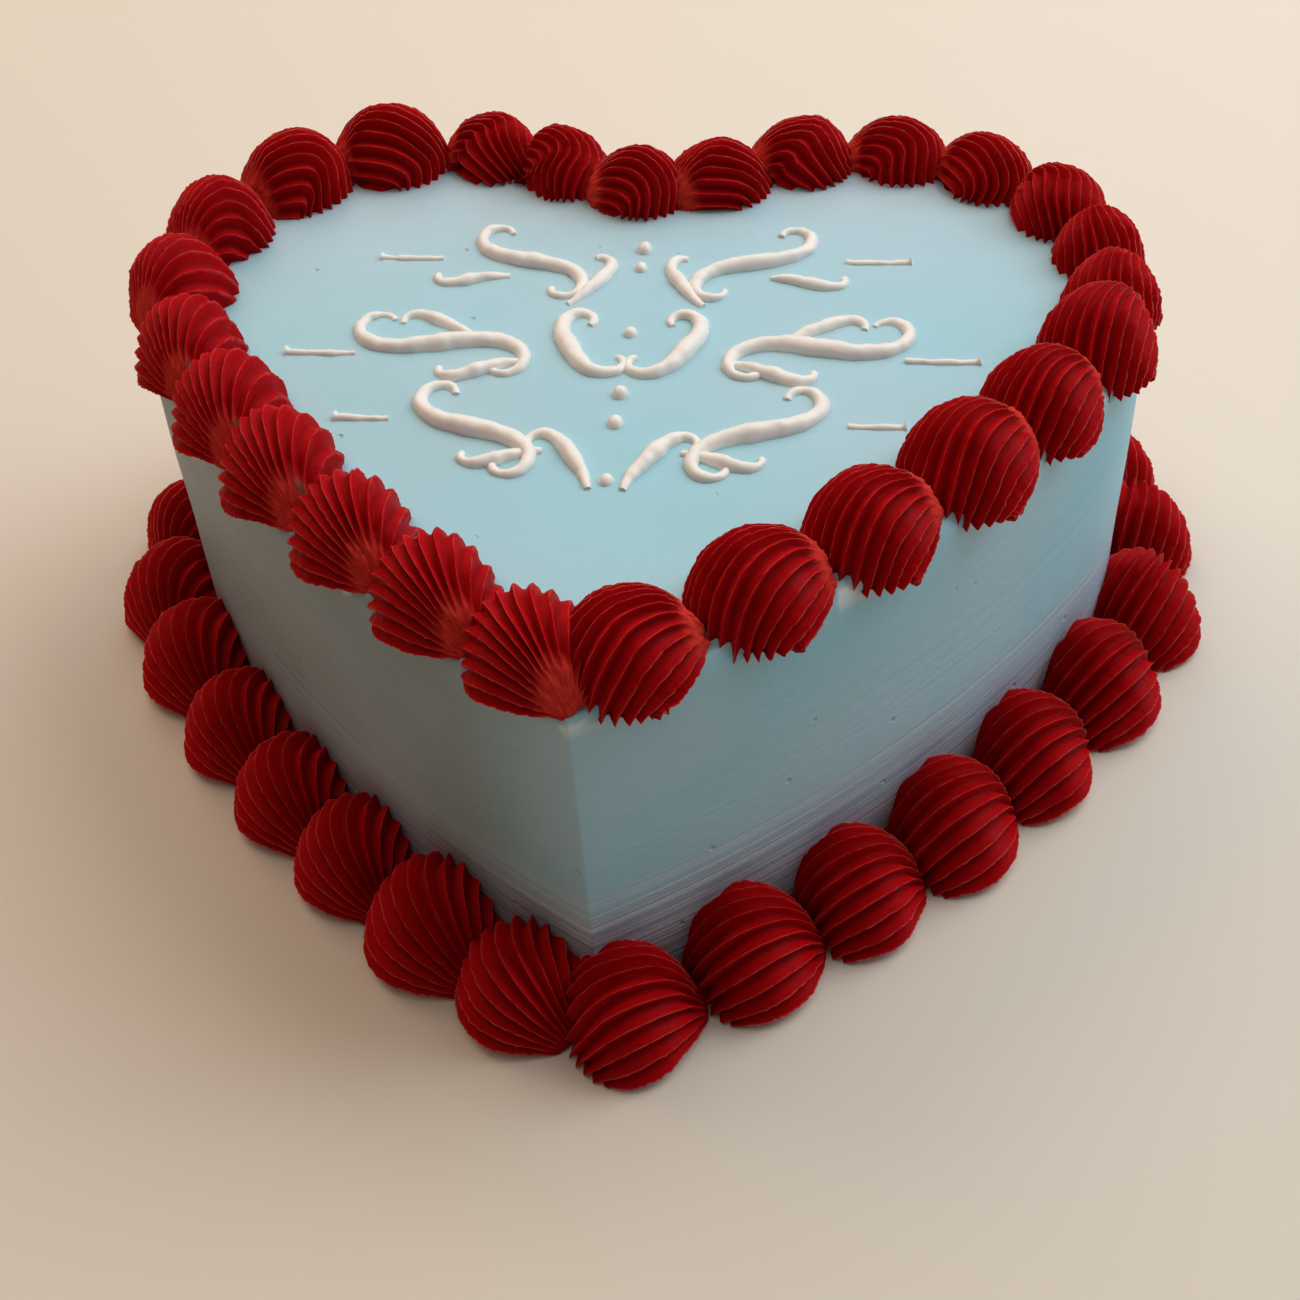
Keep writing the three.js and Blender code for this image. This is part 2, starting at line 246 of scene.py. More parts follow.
# The relief of the skin: the scraper's lines, pits and the grain of the sugar.
crowded = add(tree, "ShaderNodeMapRange", {0: height, 1: 0, 2: crowded_up_to, 3: 1, 4: 0.35})
marks = add(tree, "ShaderNodeMath", {0: lines, 1: crowded}, operation="MULTIPLY")
pits = add(tree, "ShaderNodeTexVoronoi", {"Vector": place, "Scale": 1 / pit_gap})
pits = add(tree, "ShaderNodeMapRange", {0: pits, 1: 0.02, 2: 0.065, 3: -1, 4: 0})
grain = add(tree, "ShaderNodeTexNoise", {"Vector": place, "Scale": 1 / sugar_grain, "Detail": 2})
marks = add(tree, "ShaderNodeMath", {0: grain, 1: 0.12, 2: marks}, operation="MULTIPLY_ADD")
relief = add(tree, "ShaderNodeMath", {0: pits, 1: 0.8, 2: marks}, operation="MULTIPLY_ADD")
bump = add(tree, "ShaderNodeBump", {"Height": relief, "Strength": 0.9, "Distance": 0.6 * mm})
sheen = add(tree, "ShaderNodeMapRange", {0: lines, 1: 0.3, 2: 0.7, 3: 0.42, 4: 0.55})
shader = add(tree, "ShaderNodeBsdfPrincipled", {
    "Base Color": cream.outputs[2], "Roughness": sheen, "Normal": bump, "IOR": 1.46,
})
add(tree, "ShaderNodeOutputMaterial", {"Surface": shader})

# The block's skin: level rings up the wall, over the rounded edge and in to the middle of the top.
wall_heights = [0, 0.6 * mm] + [wall_ring_gap * (1 + i) for i in range(wall_rings)]
rings = [ring_points(0, z) for z in wall_heights]
for degrees in (15, 30, 45, 60, 75, 90):
    angle = math.radians(degrees)
    inset = edge_radius * (1 - math.cos(angle))
    rings.append(ring_points(-inset, cake_height - edge_radius * (1 - math.sin(angle))))
middle = tip + Vector((0, cake_length / 2, cake_height))
rim = rings[-1]
for i in range(1, top_rings + 1):
    ring = [middle + (point - middle) * (1 - i / (top_rings + 1)) for point in rim]
    for point in ring:
        wave = noise.noise(Vector((point.x / top_wave_length, point.y / top_wave_length, 7)))
        point.z = cake_height + top_waviness * (wave - top_dip)
    rings.append(ring)
block = bmesh.new()
block_rings = [[block.verts.new(point) for point in ring] for ring in rings]
for below, above in zip(block_rings, block_rings[1:]):
    for i in range(ring_count):
        after = (i + 1) % ring_count
        block.faces.new((below[i], below[after], above[after], above[i]))
under_hub = block.verts.new((middle.x, middle.y, 0))
top_hub = block.verts.new((middle.x, middle.y, cake_height - top_waviness * top_dip))
for i in range(ring_count):
    after = (i + 1) % ring_count
    block.faces.new((block_rings[0][after], block_rings[0][i], under_hub))
    block.faces.new((block_rings[-1][i], block_rings[-1][after], top_hub))
mesh = bpy.data.meshes.new("iced_block")
block.to_mesh(mesh)
block.free()
mesh.materials.append(icing)
mesh.shade_smooth()
iced_block = bpy.data.objects.new("iced_block", mesh)
bpy.context.scene.collection.objects.link(iced_block)
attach(iced_block, "root")
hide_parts("cake_body")


# The scrolls. White cream piped freehand through a small round nozzle, in strokes that swell in the middle
# and curl at the ends, with a few dots and thin straight strokes that end in a bead. They sink in a little.
scroll_thin = 0.8
scroll_step = 0.7
curl_tightness = 2.4
scroll_swell = 0.8
scroll_sink = 0.35 * mm
scroll_lift = 0.2
thin_stroke = 1
bead_from = 0.94
bead_swell = 0.6
dot_steps = 6
dot_length = 0.9
least_dot = 0.01
scrolls = [
    {"x": 26, "y": 146, "length": 58, "heading": 14, "curls": [264, 246], "thick": 2.3},
    {"x": 9, "y": 139, "length": 24, "heading": 118, "curls": [17, -149], "thick": 1.9},
    {"x": 40, "y": 138, "length": 20, "heading": -20, "curls": [23, 149], "thick": 1.7},
    {"x": 42, "y": 113, "length": 70, "heading": -12, "curls": [269, 258], "thick": 2.5},
    {"x": 13, "y": 112, "length": 44, "heading": 64, "curls": [-223, 252], "thick": 2.4},
    {"x": 33, "y": 103, "length": 22, "heading": -28, "curls": [17, 149], "thick": 2},
    {"x": 44, "y": 122, "length": 22, "heading": 30, "curls": [17, -149], "thick": 1.8},
    {"x": 30, "y": 83, "length": 60, "heading": 16, "curls": [264, 252], "thick": 2.5},
    {"x": 9, "y": 76, "length": 26, "heading": 60, "curls": [17, -160], "thick": 2.1},
    {"x": 24, "y": 73, "length": 20, "heading": -24, "curls": [17, 149], "thick": 1.8},
    {"x": 55, "y": 147, "length": 15, "heading": 0, "curls": [-8, 12], "thick": 0.9},
    {"x": 69, "y": 109, "length": 16, "heading": 0, "curls": [-8, 12], "thick": 0.9},
    {"x": 55, "y": 86, "length": 12, "heading": 0, "curls": [-8, 12], "thick": 0.9},
]
scroll_dots = [(152, 2.1), (144, 1.7), (118, 1.8), (96, 2.1), (86, 2.1), (67, 1.7)]

strokes = bpy.data.curves.new("scroll strokes", "CURVE")
strokes.dimensions = "3D"
for scroll in scrolls:
    for mirror in (1, -1):
        steps = 2 * math.ceil(scroll["length"] / scroll_step / 2)
        line = [Vector((0, 0, 0))]
        radii = []
        for i in range(steps + 1):
            share = 2 * i / steps - 1
            swell = (1 - abs(share)) ** scroll_swell
            bead = bead_swell * (share > bead_from and scroll["thick"] < thin_stroke)
            radii.append(scroll_thin + (scroll["thick"] - scroll_thin) * swell + bead)
            middle_share = (2 * i + 1) / steps - 1
            curl = scroll["curls"][0] if middle_share < 0 else scroll["curls"][1]
            turn = math.radians(scroll["heading"] + curl * abs(middle_share) ** curl_tightness)
            line.append(line[-1] + Vector((math.cos(turn), math.sin(turn), 0)) * scroll["length"] / steps)
        shift = Vector((scroll["x"], scroll["y"], 0)) - line[steps // 2]
        spline = strokes.splines.new("POLY")
        spline.points.add(steps)
        for point, spot, radius in zip(spline.points, line, radii):
            spot = spot + shift
            point.co = (*(tip + Vector((mirror * spot.x, spot.y, 0)) * mm), 1)
            point.co.z = cake_height - scroll_sink + radius * mm * scroll_lift
            point.radius = radius * mm
for y, radius in scroll_dots:
    spline = strokes.splines.new("POLY")
    spline.points.add(dot_steps)
    for i, point in enumerate(spline.points):
        share = 2 * i / dot_steps - 1
        point.co = (*(tip + Vector((share * radius * dot_length, y, 0)) * mm), 1)
        point.co.z = cake_height - scroll_sink
        point.radius = radius * mm * math.sqrt(max(least_dot, 1 - share**2))
strokes_object = bpy.data.objects.new("scroll strokes", strokes)
bpy.context.scene.collection.objects.link(strokes_object)

# White piping cream: sugar and fat beaten stiff, so it sets with a smooth satin skin and small swellings
# where the hand slowed down.
white_mottle = 6.25 * mm
# As on the block, the sugar's grain is drawn coarser than it really is.
white_grain = 1.1111 * mm

white_cream = bpy.data.materials.new("white piping cream")
white_cream.use_nodes = True
tree = white_cream.node_tree
tree.nodes.clear()
place = add(tree, "ShaderNodeTexCoord").outputs["Object"]
mottle = add(tree, "ShaderNodeTexNoise", {"Vector": place, "Scale": 1 / white_mottle, "Detail": 2})
white = add(tree, "ShaderNodeMix", {0: mottle, 6: linear("#EDE7DF"), 7: linear("#F7F3EC")}, data_type="RGBA")
grain = add(tree, "ShaderNodeTexNoise", {"Vector": place, "Scale": 1 / white_grain, "Detail": 2})
bump = add(tree, "ShaderNodeBump", {"Height": grain, "Strength": 0.25, "Distance": 0.15 * mm})
shader = add(tree, "ShaderNodeBsdfPrincipled", {
    "Base Color": white.outputs[2], "Roughness": 0.34, "Normal": bump, "IOR": 1.46,
})
add(tree, "ShaderNodeOutputMaterial", {"Surface": shader})

# The round nozzle: a tube along each stroke, as thick as the stroke is there, with soft lumps.
nozzle_sides = 14
round_nozzle = bpy.data.node_groups.new("piped stroke", "GeometryNodeTree")
stroke_inputs = {}
for name, kind in (
    ("Strokes", "Geometry"),
    ("Swelling", "Float"),
    ("Lump Size", "Float"),
    ("Seed", "Float"),
    ("Cream", "Material"),
):
    socket = round_nozzle.interface.new_socket(name=name, in_out="INPUT", socket_type="NodeSocket" + kind)
    stroke_inputs[name] = socket.identifier
round_nozzle.interface.new_socket(name="Piping", in_out="OUTPUT", socket_type="NodeSocketGeometry")
given = round_nozzle.nodes.new("NodeGroupInput").outputs
radius = add(round_nozzle, "GeometryNodeInputRadius")
opening = add(round_nozzle, "GeometryNodeCurvePrimitiveCircle", {"Resolution": nozzle_sides, "Radius": 1})
tube = add(round_nozzle, "GeometryNodeCurveToMesh", {
    "Curve": given["Strokes"], "Profile Curve": opening, "Scale": radius, "Fill Caps": True,
})
spot = add(round_nozzle, "GeometryNodeInputPosition")
lumps_per_metre = add(round_nozzle, "ShaderNodeMath", {0: 1, 1: given["Lump Size"]}, operation="DIVIDE")
lumps = add(round_nozzle, "ShaderNodeTexNoise", {
    "Vector": spot, "W": given["Seed"], "Scale": lumps_per_metre, "Detail": 1,
}, noise_dimensions="4D")
lumps = add(round_nozzle, "ShaderNodeMath", {0: lumps, 1: 0.5}, operation="SUBTRACT")
lumps = add(round_nozzle, "ShaderNodeMath", {0: lumps, 1: given["Swelling"]}, operation="MULTIPLY")
way = add(round_nozzle, "GeometryNodeInputNormal")
swollen = add(round_nozzle, "ShaderNodeVectorMath", {0: way, "Scale": lumps}, operation="SCALE")
bumpy = add(round_nozzle, "GeometryNodeSetPosition", {"Geometry": tube, "Offset": swollen})
soft = add(round_nozzle, "GeometryNodeSetShadeSmooth", {"Geometry": bumpy})
whole = add(round_nozzle, "GeometryNodeRealizeInstances", {"Geometry": soft})
coated = add(round_nozzle, "GeometryNodeSetMaterial", {"Geometry": whole, "Material": given["Cream"]})
add(round_nozzle, "NodeGroupOutput", {"Piping": coated})

piping = strokes_object.modifiers.new("piped stroke", "NODES")
piping.node_group = round_nozzle
piping[stroke_inputs["Swelling"]] = 1.1 * mm
piping[stroke_inputs["Lump Size"]] = 10 / 3 * mm
piping[stroke_inputs["Seed"]] = 4.0
piping[stroke_inputs["Cream"]] = white_cream
evaluated = strokes_object.evaluated_get(bpy.context.evaluated_depsgraph_get())
scroll_mesh = bpy.data.meshes.new_from_object(evaluated)
bpy.data.objects.remove(strokes_object)
white_scrolls = bpy.data.objects.new("white_scrolls", scroll_mesh)
bpy.context.scene.collection.objects.link(white_scrolls)
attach(white_scrolls, "root")
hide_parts("cake_body")


# Red buttercream, coloured deep crimson with food dye and piped cold, so the star nozzle's ridges stay sharp.
# The skin is satin, with a thin painted highlight along each ridge and painted shade in the grooves. It is
# paler where the nozzle tore off, and that paleness is partly a painted sheen.
red_mottle = 8.3333 * mm
glint_break = 2.38095 * mm
smear_grit = 2.08333 * mm
# The red cream's grain is drawn coarser than it really is as well.
red_grain = 0.76923 * mm

red_cream = bpy.data.materials.new("crimson buttercream")
red_cream.use_nodes = True
tree = red_cream.node_tree
tree.nodes.clear()
place = add(tree, "ShaderNodeTexCoord").outputs["Object"]
groove = add(tree, "ShaderNodeAttribute", attribute_name="groove").outputs["Fac"]
smear = add(tree, "ShaderNodeAttribute", attribute_name="smear").outputs["Fac"]
dab = add(tree, "ShaderNodeAttribute", attribute_name="dab").outputs["Fac"]
mottle = add(tree, "ShaderNodeTexNoise", {"Vector": place, "Scale": 1 / red_mottle, "Detail": 3})
red = add(tree, "ShaderNodeMix", {0: mottle, 6: linear("#9E0006"), 7: linear("#B0060D")}, data_type="RGBA")
# Painted shade: the hollow of each groove turns a darker red.
groove_shade = add(tree, "ShaderNodeMapRange", {0: groove, 1: 0.45, 2: 1, 3: 0, 4: 0.62})
red = add(tree, "ShaderNodeMix", {0: groove_shade, 6: red.outputs[2], 7: linear("#620002")}, data_type="RGBA")
# Painted highlight: a thin lighter line along each crest, broken in places and left off the smear.
glint = add(tree, "ShaderNodeMapRange", {0: groove, 1: 0.01, 2: 0.1, 3: 1, 4: 0})
broken = add(tree, "ShaderNodeTexNoise", {"Vector": place, "Scale": 1 / glint_break, "Detail": 2})
broken = add(tree, "ShaderNodeMapRange", {0: broken, 1: 0.35, 2: 0.6, 3: 0.15, 4: 0.7})
glint = add(tree, "ShaderNodeMath", {0: glint, 1: broken}, operation="MULTIPLY")
unsmeared = add(tree, "ShaderNodeMath", {0: 1, 1: smear}, operation="SUBTRACT")
glint = add(tree, "ShaderNodeMath", {0: glint, 1: unsmeared}, operation="MULTIPLY")
red = add(tree, "ShaderNodeMix", {0: glint, 6: red.outputs[2], 7: linear("#BE4642")}, data_type="RGBA")
# Where the nozzle tore off the red is paler, and that paleness is partly a painted sheen.
torn_paleness_and_sheen = add(tree, "ShaderNodeMath", {0: smear, 1: 0.75}, operation="MULTIPLY")
red = add(tree, "ShaderNodeMix", {0: torn_paleness_and_sheen, 6: red.outputs[2], 7: linear("#DC3E33")}, data_type="RGBA")
red = add(tree, "ShaderNodeMix", {0: dab, 6: red.outputs[2], 7: linear("#86483C")}, data_type="RGBA")
grain = add(tree, "ShaderNodeTexNoise", {"Vector": place, "Scale": 1 / red_grain, "Detail": 3})
grit = add(tree, "ShaderNodeTexNoise", {"Vector": place, "Scale": 1 / smear_grit, "Detail": 3})
grit = add(tree, "ShaderNodeMath", {0: grit, 1: smear}, operation="MULTIPLY")
grit = add(tree, "ShaderNodeMath", {0: grit, 1: 7, 2: grain}, operation="MULTIPLY_ADD")
bump = add(tree, "ShaderNodeBump", {"Height": grit, "Strength": 0.4, "Distance": 0.12 * mm})
satin = add(tree, "ShaderNodeMapRange", {0: mottle, 1: 0.3, 2: 0.7, 3: 0.5, 4: 0.64})
satin = add(tree, "ShaderNodeMath", {0: smear, 1: -0.12, 2: satin}, operation="MULTIPLY_ADD")
shader = add(tree, "ShaderNodeBsdfPrincipled", {
    "Base Color": red.outputs[2], "Roughness": satin, "Normal": bump, "IOR": 1.45, "Specular IOR Level": 0.05,
    "Subsurface Weight": 0.3, "Subsurface Radius": (1, 0.5, 0.4), "Subsurface Scale": 1.5 * mm,
})
add(tree, "ShaderNodeOutputMaterial", {"Surface": shader})


# The shape that a star nozzle leaves. The cream wells up into a fat head and is pulled down to a tail. Its
# ridges run from the tail over the dome to the foot, sharp at the crest and hollow between.
rib_facets = 6
shell_rows = 58
crest_crowding = 0.07
strip_width = 1
strip_fade = 0.2
strip_sink = 0.25
strip_sharpness = 60
ridge_tilt = 0.55
slow_drift = 1.1
quick_drift = 13
quick_reach = 0.07
buckle_waves = 1.5
buckle_slant = 1.2
bow_out = 1.06
under_share = 0.06
tail_taper = 0.25
groove_change = 2.6
groove_start = 0.84
groove_full = 0.6
smear_back = 0.63
smear_length = 0.24
smear_fray = 9
fray_reach = 0.7
dab_centre = (0.56, -0.06, 0)
dab_radii = (0.06, 0.055, 1)
lump_size = 40 / 3 * mm
rag_size = 20 / 17 * mm
pull_size = 25 / 12 * mm

star = bpy.data.node_groups.new("piped shell", "GeometryNodeTree")
shell_inputs = {}
for kind, names in (
    ("Float", ("Height", "Sink", "Width", "Head", "Tail", "Undercut", "Rib Depth", "Size", "Heading")),
    ("Float", ("Tail Drop", "Head Cut", "Petals", "Slit", "Gather", "Skew", "Lean", "Drift", "Buckle")),
    ("Float", ("Smear", "Smear Width", "Dab", "Seed")),
    ("Int", ("Ribs",)),
    ("Vector", ("Pole", "Place")),
    ("Material", ("Cream",)),
):
    for name in names:
        socket = star.interface.new_socket(name=name, in_out="INPUT", socket_type="NodeSocket" + kind)
        shell_inputs[name] = socket.identifier
star.interface.new_socket(name="Shell", in_out="OUTPUT", socket_type="NodeSocketGeometry")
given = star.nodes.new("NodeGroupInput").outputs

# The grid runs ridge by ridge once round the shell, with its facets crowded at the crests, and row by row
# from the pole near the tail, where the ridges meet, to the foot. A plain strip at its sides lies under the
# next head.
facets = add(star, "ShaderNodeMath", {0: given["Ribs"], 1: rib_facets, 2: 1}, operation="MULTIPLY_ADD")
grid = add(star, "GeometryNodeMeshGrid", {
    "Size X": 1, "Size Y": 1, "Vertices X": facets, "Vertices Y": shell_rows,
})
spot = add(star, "GeometryNodeInputPosition")
cell = add(star, "ShaderNodeSeparateXYZ", {0: spot})
around = add(star, "ShaderNodeMath", {0: cell.outputs["X"], 1: 0.5}, operation="ADD")
along = add(star, "ShaderNodeMath", {0: cell.outputs["Y"], 1: 0.5}, operation="ADD")
rib = add(star, "ShaderNodeMath", {0: around, 1: given["Ribs"]}, operation="MULTIPLY")
swing = add(star, "ShaderNodeMath", {0: rib}, operation="FRACT")
swing = add(star, "ShaderNodeMath", {0: swing, 1: math.tau}, operation="MULTIPLY")
swing = add(star, "ShaderNodeMath", {0: swing}, operation="SINE")
rib = add(star, "ShaderNodeMath", {0: swing, 1: -crest_crowding, 2: rib}, operation="MULTIPLY_ADD")
half_ribs = add(star, "ShaderNodeMath", {0: given["Ribs"], 1: 0.5}, operation="MULTIPLY")
to_edge = add(star, "ShaderNodeMath", {0: rib, 1: half_ribs}, operation="SUBTRACT")
to_edge = add(star, "ShaderNodeMath", {0: to_edge}, operation="ABSOLUTE")
to_edge = add(star, "ShaderNodeMath", {0: half_ribs, 1: to_edge}, operation="SUBTRACT")
covered = add(star, "ShaderNodeMapRange", {
    0: to_edge, 1: strip_width - strip_fade, 2: strip_width, 3: 1, 4: 0,
})

# The cut across one ridge. A round scoop leaves a sharp crest, which the tilt turns to one side, so that the
# ridges lie like tiles. Towards the foot, petals can take over: round lobes with a narrow groove between.
hollow_at = add(star, "ShaderNodeMath", {0: rib}, operation="FRACT")
far_side = add(star, "ShaderNodeMath", {0: 1, 1: hollow_at}, operation="SUBTRACT")
tilt = add(star, "ShaderNodeMath", {0: hollow_at, 1: far_side}, operation="MULTIPLY")
hollow_at = add(star, "ShaderNodeMath", {0: tilt, 1: ridge_tilt, 2: hollow_at}, operation="MULTIPLY_ADD")
half_turn = add(star, "ShaderNodeMath", {0: hollow_at, 1: math.pi}, operation="MULTIPLY")
scooped = add(star, "ShaderNodeMath", {0: half_turn}, operation="SINE")
scooped = add(star, "ShaderNodeMath", {0: scooped}, operation="ABSOLUTE")
pinched = add(star, "ShaderNodeMath", {0: half_turn}, operation="COSINE")
pinched = add(star, "ShaderNodeMath", {0: pinched}, operation="ABSOLUTE")
pinched = add(star, "ShaderNodeMath", {0: 1, 1: pinched}, operation="SUBTRACT")
lobed = add(star, "ShaderNodeMapRange", {0: along, 1: 0.35, 2: 0.8, 3: 0.1, 4: given["Petals"]})
hollow = add(star, "ShaderNodeMix", {0: lobed, 2: scooped, 3: pinched})

# Where each ridge ends on the foot. Gather keeps the ends to the head's side and leaves the back to the
# strip, Skew crowds them to one side, and Lean turns them all.
turn = add(star, "ShaderNodeMath", {0: rib, 1: given["Ribs"]}, operation="DIVIDE")
turn = add(star, "ShaderNodeMath", {0: turn, 1: math.tau}, operation="MULTIPLY")
aside = add(star, "ShaderNodeMath", {0: turn, 1: 1 / math.pi, 2: -1}, operation="MULTIPLY_ADD")
inner = add(star, "ShaderNodeMath", {0: aside, 1: aside}, operation="MULTIPLY")
inner = add(star, "ShaderNodeMath", {0: 1, 1: inner}, operation="SUBTRACT")
aside = add(star, "ShaderNodeMath", {0: inner, 1: given["Skew"], 2: aside}, operation="MULTIPLY_ADD")
behind_all = add(star, "ShaderNodeMath", {0: aside}, operation="ABSOLUTE")
behind_all = add(star, "ShaderNodeMath", {0: behind_all, 1: strip_sharpness}, operation="POWER")
ahead_of = add(star, "ShaderNodeMath", {0: 1, 1: behind_all}, operation="SUBTRACT")
apart = add(star, "ShaderNodeMath", {0: 1, 1: given["Gather"]}, operation="SUBTRACT")
apart = add(star, "ShaderNodeMath", {0: apart, 1: behind_all, 2: given["Gather"]}, operation="MULTIPLY_ADD")
apart = add(star, "ShaderNodeMath", {0: apart, 1: aside}, operation="MULTIPLY")
turn = add(star, "ShaderNodeMath", {0: apart, 1: math.pi, 2: math.pi}, operation="MULTIPLY_ADD")
turn = add(star, "ShaderNodeMath", {0: ahead_of, 1: given["Lean"], 2: turn}, operation="MULTIPLY_ADD")

# The ridges drift from their even places, slowly along their length and quickly at their crests. A buckled
# shell waves from side to side, as where the hand shook.
even_cos = add(star, "ShaderNodeMath", {0: turn}, operation="COSINE")
even_sin = add(star, "ShaderNodeMath", {0: turn}, operation="SINE")
round_place = add(star, "ShaderNodeCombineXYZ", {0: even_cos, 1: even_sin, 2: along})
slow = add(star, "ShaderNodeTexNoise", {
    "Vector": round_place, "W": given["Seed"], "Scale": slow_drift, "Detail": 1,
}, noise_dimensions="4D")
slow = add(star, "ShaderNodeMath", {0: slow, 1: 0.5}, operation="SUBTRACT")
turn = add(star, "ShaderNodeMath", {0: slow, 1: given["Drift"], 2: turn}, operation="MULTIPLY_ADD")
quick = add(star, "ShaderNodeTexNoise", {
    "Vector": round_place, "W": given["Seed"], "Scale": quick_drift, "Detail": 1,
}, noise_dimensions="4D")
quick = add(star, "ShaderNodeMath", {0: quick, 1: 0.5}, operation="SUBTRACT")
turn = add(star, "ShaderNodeMath", {0: quick, 1: quick_reach, 2: turn}, operation="MULTIPLY_ADD")
phase = add(star, "ShaderNodeMath", {
    0: even_sin, 1: buckle_slant, 2: given["Seed"],
}, operation="MULTIPLY_ADD")
bend = add(star, "ShaderNodeMath", {0: along, 1: math.tau * buckle_waves, 2: phase}, operation="MULTIPLY_ADD")
bend = add(star, "ShaderNodeMath", {0: bend}, operation="SINE")
bend = add(star, "ShaderNodeMath", {0: bend, 1: along}, operation="MULTIPLY")
turn = add(star, "ShaderNodeMath", {0: bend, 1: given["Buckle"], 2: turn}, operation="MULTIPLY_ADD")

# The flat map of the dome, a disc. Each ridge leaves a short slit at the pole, bows out sideways as far as
# the disc allows, and ends at its own place on the rim.
share = add(star, "ShaderNodeMath", {0: along, 1: 1 + under_share}, operation="MULTIPLY")
under = add(star, "ShaderNodeMapRange", {0: share, 1: 1, 2: 1 + under_share, 3: 0, 4: 1})
share = add(star, "ShaderNodeMath", {0: share, 1: 1}, operation="MINIMUM")
rest_of = add(star, "ShaderNodeMath", {0: 1, 1: share}, operation="SUBTRACT")
turn_cos = add(star, "ShaderNodeMath", {0: turn}, operation="COSINE")
turn_sin = add(star, "ShaderNodeMath", {0: turn}, operation="SINE")
side = add(star, "ShaderNodeMath", {0: aside, 1: ahead_of}, operation="MULTIPLY")
side = add(star, "ShaderNodeMath", {0: side, 1: -1}, operation="MULTIPLY")
slit = add(star, "ShaderNodeMath", {0: side, 1: given["Slit"]}, operation="MULTIPLY")
slit = add(star, "ShaderNodeCombineXYZ", {1: slit})
pole = add(star, "ShaderNodeVectorMath", {0: given["Pole"], 1: slit}, operation="ADD")
foot = add(star, "ShaderNodeCombineXYZ", {0: turn_cos, 1: turn_sin})
straight = add(star, "ShaderNodeVectorMath", {0: pole, 1: foot}, operation="ADD")
straight = add(star, "ShaderNodeVectorMath", {0: straight, "Scale": 0.5}, operation="SCALE")
middle_x = add(star, "ShaderNodeSeparateXYZ", {0: straight}).outputs["X"]
widest = add(star, "ShaderNodeMath", {0: middle_x, 1: middle_x}, operation="MULTIPLY")
widest = add(star, "ShaderNodeMath", {0: 1, 1: widest}, operation="SUBTRACT")
widest = add(star, "ShaderNodeMath", {0: widest}, operation="SQRT")
middle_y = add(star, "ShaderNodeMath", {0: side, 1: bow_out}, operation="MULTIPLY")
middle_y = add(star, "ShaderNodeMath", {0: middle_y, 1: widest}, operation="MULTIPLY")
bowed = add(star, "ShaderNodeCombineXYZ", {0: middle_x, 1: middle_y})
bowed = add(star, "ShaderNodeVectorMath", {0: bowed, "Scale": 2}, operation="SCALE")
guide = add(star, "ShaderNodeVectorMath", {0: bowed, 1: straight}, operation="SUBTRACT")
near_pole = add(star, "ShaderNodeMath", {0: rest_of, 1: 2}, operation="POWER")
midway = add(star, "ShaderNodeMath", {0: rest_of, 1: share}, operation="MULTIPLY")
midway = add(star, "ShaderNodeMath", {0: midway, 1: 2}, operation="MULTIPLY")
near_foot = add(star, "ShaderNodeMath", {0: share, 1: 2}, operation="POWER")
flat = add(star, "ShaderNodeVectorMath", {0: pole, "Scale": near_pole}, operation="SCALE")
part = add(star, "ShaderNodeVectorMath", {0: guide, "Scale": midway}, operation="SCALE")
flat = add(star, "ShaderNodeVectorMath", {0: flat, 1: part}, operation="ADD")
part = add(star, "ShaderNodeVectorMath", {0: foot, "Scale": near_foot}, operation="SCALE")
flat = add(star, "ShaderNodeVectorMath", {0: flat, 1: part}, operation="ADD")

# The dome. The disc wraps over the head like a cap, narrows and drops to the tail, and its edge curls in
# under the foot. The strip under the next head is sunk.
reach = add(star, "ShaderNodeVectorMath", {0: flat}, operation="LENGTH").outputs["Value"]
reach = add(star, "ShaderNodeMath", {0: reach, 1: 1}, operation="MINIMUM")
reach = add(star, "ShaderNodeMath", {0: reach, 1: math.pi / 2}, operation="MULTIPLY")
bearing = add(star, "ShaderNodeVectorMath", {0: flat}, operation="NORMALIZE")
out = add(star, "ShaderNodeMath", {0: reach}, operation="SINE")
fall = add(star, "ShaderNodeMath", {0: reach}, operation="COSINE")
fall = add(star, "ShaderNodeMath", {0: fall, 1: 0}, operation="MAXIMUM")
spread = add(star, "ShaderNodeVectorMath", {0: bearing, "Scale": out}, operation="SCALE")
spread = add(star, "ShaderNodeSeparateXYZ", {0: spread})
back = add(star, "ShaderNodeMath", {0: spread.outputs["X"], 1: 0}, operation="MAXIMUM")
is_back = add(star, "ShaderNodeMath", {0: spread.outputs["X"], 1: 0}, operation="GREATER_THAN")
reach_x = add(star, "ShaderNodeMix", {0: is_back, 2: given["Head"], 3: given["Tail"]})
x = add(star, "ShaderNodeMath", {0: spread.outputs["X"], 1: reach_x}, operation="MULTIPLY")
behind = add(star, "ShaderNodeMath", {0: back, 1: 2}, operation="POWER")
taper = add(star, "ShaderNodeMath", {0: behind, 1: -tail_taper, 2: 1}, operation="MULTIPLY_ADD")
half_width = add(star, "ShaderNodeMath", {0: given["Width"], 1: 0.5}, operation="MULTIPLY")
y = add(star, "ShaderNodeMath", {0: spread.outputs["Y"], 1: half_width}, operation="MULTIPLY")
y = add(star, "ShaderNodeMath", {0: y, 1: taper}, operation="MULTIPLY")
steeper = add(star, "ShaderNodeMath", {0: behind, 1: given["Tail Drop"], 2: 1}, operation="MULTIPLY_ADD")
